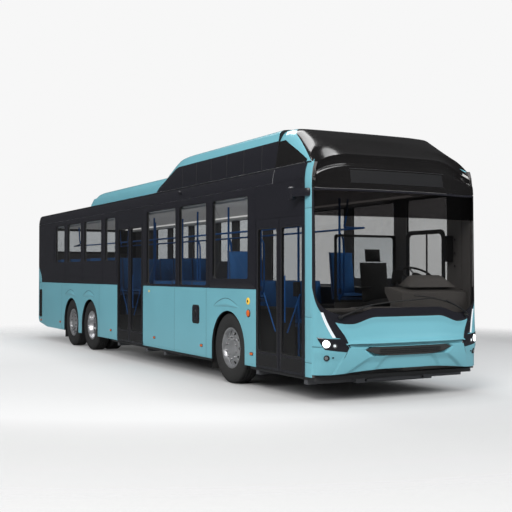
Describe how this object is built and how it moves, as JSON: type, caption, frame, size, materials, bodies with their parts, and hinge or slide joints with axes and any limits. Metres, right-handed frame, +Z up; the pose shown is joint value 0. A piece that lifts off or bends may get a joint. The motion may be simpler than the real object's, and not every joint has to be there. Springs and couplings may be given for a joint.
{
  "type": "city bus",
  "caption": "Rigid low-entry electric city bus with three axles, twin-leaf doors, a raised rear floor and long roof housings.",
  "frame": {"origin": "on the ground under the middle of the bus, midway between its front and rear panels and its side panels", "axes": "+X forward along the bus, +Y to its left (the driver's side), +Z up"},
  "size_m": [13.3, 2.85, 3.5],
  "materials": {
    "alloy": "polished aluminium",
    "black_gloss": "gloss black",
    "black_rubber": "black rubber",
    "body_paint": "light turquoise gloss paint",
    "cab_black": "black soft plastic",
    "floor_covering": "grey vinyl",
    "frame_steel": "dark grey chassis paint",
    "lamp_lens": "clear lens",
    "lining": "light grey lining",
    "machine_grey": "grey machine paint",
    "rail_blue": "blue powder coat",
    "red_lens": "red lens",
    "roof_paint": "turquoise gloss paint",
    "seat_cloth": "blue moquette",
    "seat_shell": "dark blue plastic",
    "tinted_glass": "grey tinted",
    "tyre": "black tyre rubber"
  },
  "bodies": {
    "body": {"chassis_rails": "frame_steel", "cross_members": "frame_steel", "low_floor": "floor_covering", "raised_floor": "floor_covering", "wheel_boxes": "frame_steel", "ceiling": "lining", "side_skirts": "body_paint", "window_frames": "black_gloss", "side_glass": "tinted_glass", "corner_pillars": "body_paint", "roof": "roof_paint", "front_pod": "black_gloss", "rear_pod": "roof_paint", "front_dome": "black_gloss", "windscreen": "tinted_glass", "front_panel": "body_paint", "front_bumper": "body_paint", "rear_wall": "body_paint", "rear_bumper": "body_paint", "headlamps": "lamp_lens", "tail_lamps": "red_lens", "wipers": "black_gloss", "mirror_cameras": "black_gloss", "mudflaps": "black_rubber", "front_axle": "machine_grey", "drive_axle": "machine_grey", "tag_axle": "machine_grey", "traction_motor": "machine_grey", "battery_pack": "machine_grey", "seat_frames": "seat_shell", "seat_pads": "seat_cloth", "driver_seat": "cab_black", "dashboard": "cab_black", "steering_wheel": "cab_black", "cab_partition": "lining", "handrails": "rail_blue"},
    "rear_hatch": {"rear_hatch": "body_paint"},
    "front_door_fore_leaf": {"front_door_fore_leaf": "black_gloss"},
    "front_door_aft_leaf": {"front_door_aft_leaf": "black_gloss"},
    "mid_door_fore_leaf": {"mid_door_fore_leaf": "black_gloss"},
    "mid_door_aft_leaf": {"mid_door_aft_leaf": "black_gloss"},
    "right_knuckle": {"right_knuckle": "machine_grey"},
    "left_knuckle": {"left_knuckle": "machine_grey"},
    "front_right_wheel": {"front_right_rim": "alloy", "front_right_tyre": "tyre"},
    "front_left_wheel": {"front_left_rim": "alloy", "front_left_tyre": "tyre"},
    "drive_right_wheels": {"drive_right_rims": "alloy", "drive_right_tyres": "tyre"},
    "drive_left_wheels": {"drive_left_rims": "alloy", "drive_left_tyres": "tyre"},
    "tag_right_wheel": {"tag_right_rim": "alloy", "tag_right_tyre": "tyre"},
    "tag_left_wheel": {"tag_left_rim": "alloy", "tag_left_tyre": "tyre"}
  },
  "joints": [
    {"name": "right_steer", "type": "hinge", "parent": "body", "child": "right_knuckle", "pos_m": [4.01, -0.95, 0.506], "axis": [0, 0, 1], "range_deg": [-45, 45]},
    {"name": "left_steer", "type": "hinge", "parent": "body", "child": "left_knuckle", "pos_m": [4.01, 0.95, 0.506], "axis": [0, 0, 1], "range_deg": [-45, 45]},
    {"name": "front_right_wheel_spin", "type": "hinge", "parent": "right_knuckle", "child": "front_right_wheel", "pos_m": [4.01, -1.102, 0.506], "axis": [0, 1, 0], "continuous": true},
    {"name": "front_left_wheel_spin", "type": "hinge", "parent": "left_knuckle", "child": "front_left_wheel", "pos_m": [4.01, 1.102, 0.506], "axis": [0, 1, 0], "continuous": true},
    {"name": "drive_right_wheels_spin", "type": "hinge", "parent": "body", "child": "drive_right_wheels", "pos_m": [-2.42, -1.102, 0.506], "axis": [0, 1, 0], "continuous": true},
    {"name": "drive_left_wheels_spin", "type": "hinge", "parent": "body", "child": "drive_left_wheels", "pos_m": [-2.42, 1.102, 0.506], "axis": [0, 1, 0], "continuous": true},
    {"name": "tag_right_wheel_spin", "type": "hinge", "parent": "body", "child": "tag_right_wheel", "pos_m": [-3.72, -1.102, 0.506], "axis": [0, 1, 0], "continuous": true},
    {"name": "tag_left_wheel_spin", "type": "hinge", "parent": "body", "child": "tag_left_wheel", "pos_m": [-3.72, 1.102, 0.506], "axis": [0, 1, 0], "continuous": true},
    {"name": "front_door_fore_leaf_swing", "type": "hinge", "parent": "body", "child": "front_door_fore_leaf", "pos_m": [6.146, -1.235, 1.3], "axis": [0, 0, -1], "range_deg": [0, 90]},
    {"name": "front_door_aft_leaf_swing", "type": "hinge", "parent": "body", "child": "front_door_aft_leaf", "pos_m": [4.894, -1.235, 1.3], "axis": [0, 0, 1], "range_deg": [0, 90]},
    {"name": "mid_door_fore_leaf_swing", "type": "hinge", "parent": "body", "child": "mid_door_fore_leaf", "pos_m": [0.616, -1.235, 1.4], "axis": [0, 0, -1], "range_deg": [0, 90]},
    {"name": "mid_door_aft_leaf_swing", "type": "hinge", "parent": "body", "child": "mid_door_aft_leaf", "pos_m": [-0.696, -1.235, 1.4], "axis": [0, 0, 1], "range_deg": [0, 90]},
    {"name": "rear_hatch_lift", "type": "hinge", "parent": "body", "child": "rear_hatch", "pos_m": [-6.64, 0, 1.63], "axis": [0, 1, 0], "range_deg": [0, 80]}
  ],
  "couplings": [
    {"joint": "left_steer", "follows": "right_steer", "ratio": 1},
    {"joint": "front_door_aft_leaf_swing", "follows": "front_door_fore_leaf_swing", "ratio": 1},
    {"joint": "mid_door_aft_leaf_swing", "follows": "mid_door_fore_leaf_swing", "ratio": 1}
  ]
}
